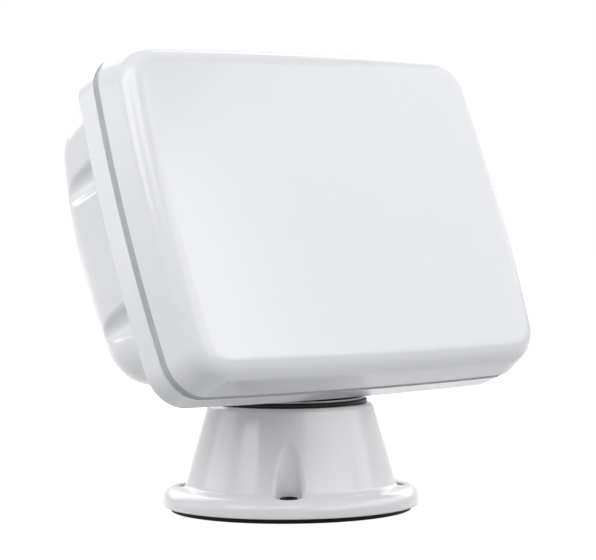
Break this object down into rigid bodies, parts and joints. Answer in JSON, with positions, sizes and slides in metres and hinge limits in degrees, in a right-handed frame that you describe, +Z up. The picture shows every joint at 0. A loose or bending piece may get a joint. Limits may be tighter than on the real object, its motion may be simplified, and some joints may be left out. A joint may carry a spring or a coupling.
{
  "type": "swivel instrument pod",
  "caption": "Blank two-shell marine instrument pod, tilted back on a round swivel pedestal that bolts to the deck and passes the cables up through a hollow hub.",
  "frame": {"origin": "centre of the deck bolt circle, in the plane of the deck gasket's underside", "axes": "+Z up along the swivel axis, -Y towards the pod's front at rest, +X to the right as seen from behind the pod"},
  "size_m": [0.3358, 0.1966, 0.3266],
  "materials": {
    "shell_white": "glossy moulded ABS",
    "pedestal_white": "glossy moulded ABS",
    "seal_grey": "satin silicone",
    "rubber_black": "matte neoprene",
    "disc_black": "glossy low friction plastic",
    "acetal_white": "machined acetal",
    "hub_aluminium": "clear anodised",
    "stainless": "passivated stainless",
    "nylon_washer": "natural nylon",
    "insert_brass": "turned brass"
  },
  "bodies": {
    "pedestal": {"pedestal_base": "pedestal_white", "deck_gasket": "rubber_black", "bolt_grommets": "rubber_black", "swivel_disc": "disc_black", "swivel_bush": "acetal_white", "thrust_washer": "acetal_white"},
    "pod": {"front_shell": "shell_white", "rear_shell": "shell_white", "shell_seal": "seal_grey", "hub_oring": "rubber_black", "cable_grommet": "rubber_black", "swivel_hub": "hub_aluminium", "lock_nut": "hub_aluminium", "backing_plate": "stainless", "keyed_washer": "stainless", "disc_spring": "stainless", "pod_plate": "acetal_white", "pod_gasket": "rubber_black", "shell_screws": "stainless", "hub_screws": "stainless", "hub_screw_washers": "stainless", "nut_grub_screw": "stainless", "stop_pin": "stainless", "shell_screw_washers": "nylon_washer", "shell_inserts": "insert_brass", "hub_inserts": "insert_brass"}
  },
  "joints": [
    {"name": "swivel", "type": "hinge", "parent": "pedestal", "child": "pod", "pos_m": [0, 0, 0.0797], "axis": [0, 0, 1], "range_deg": [-165, 165]}
  ]
}
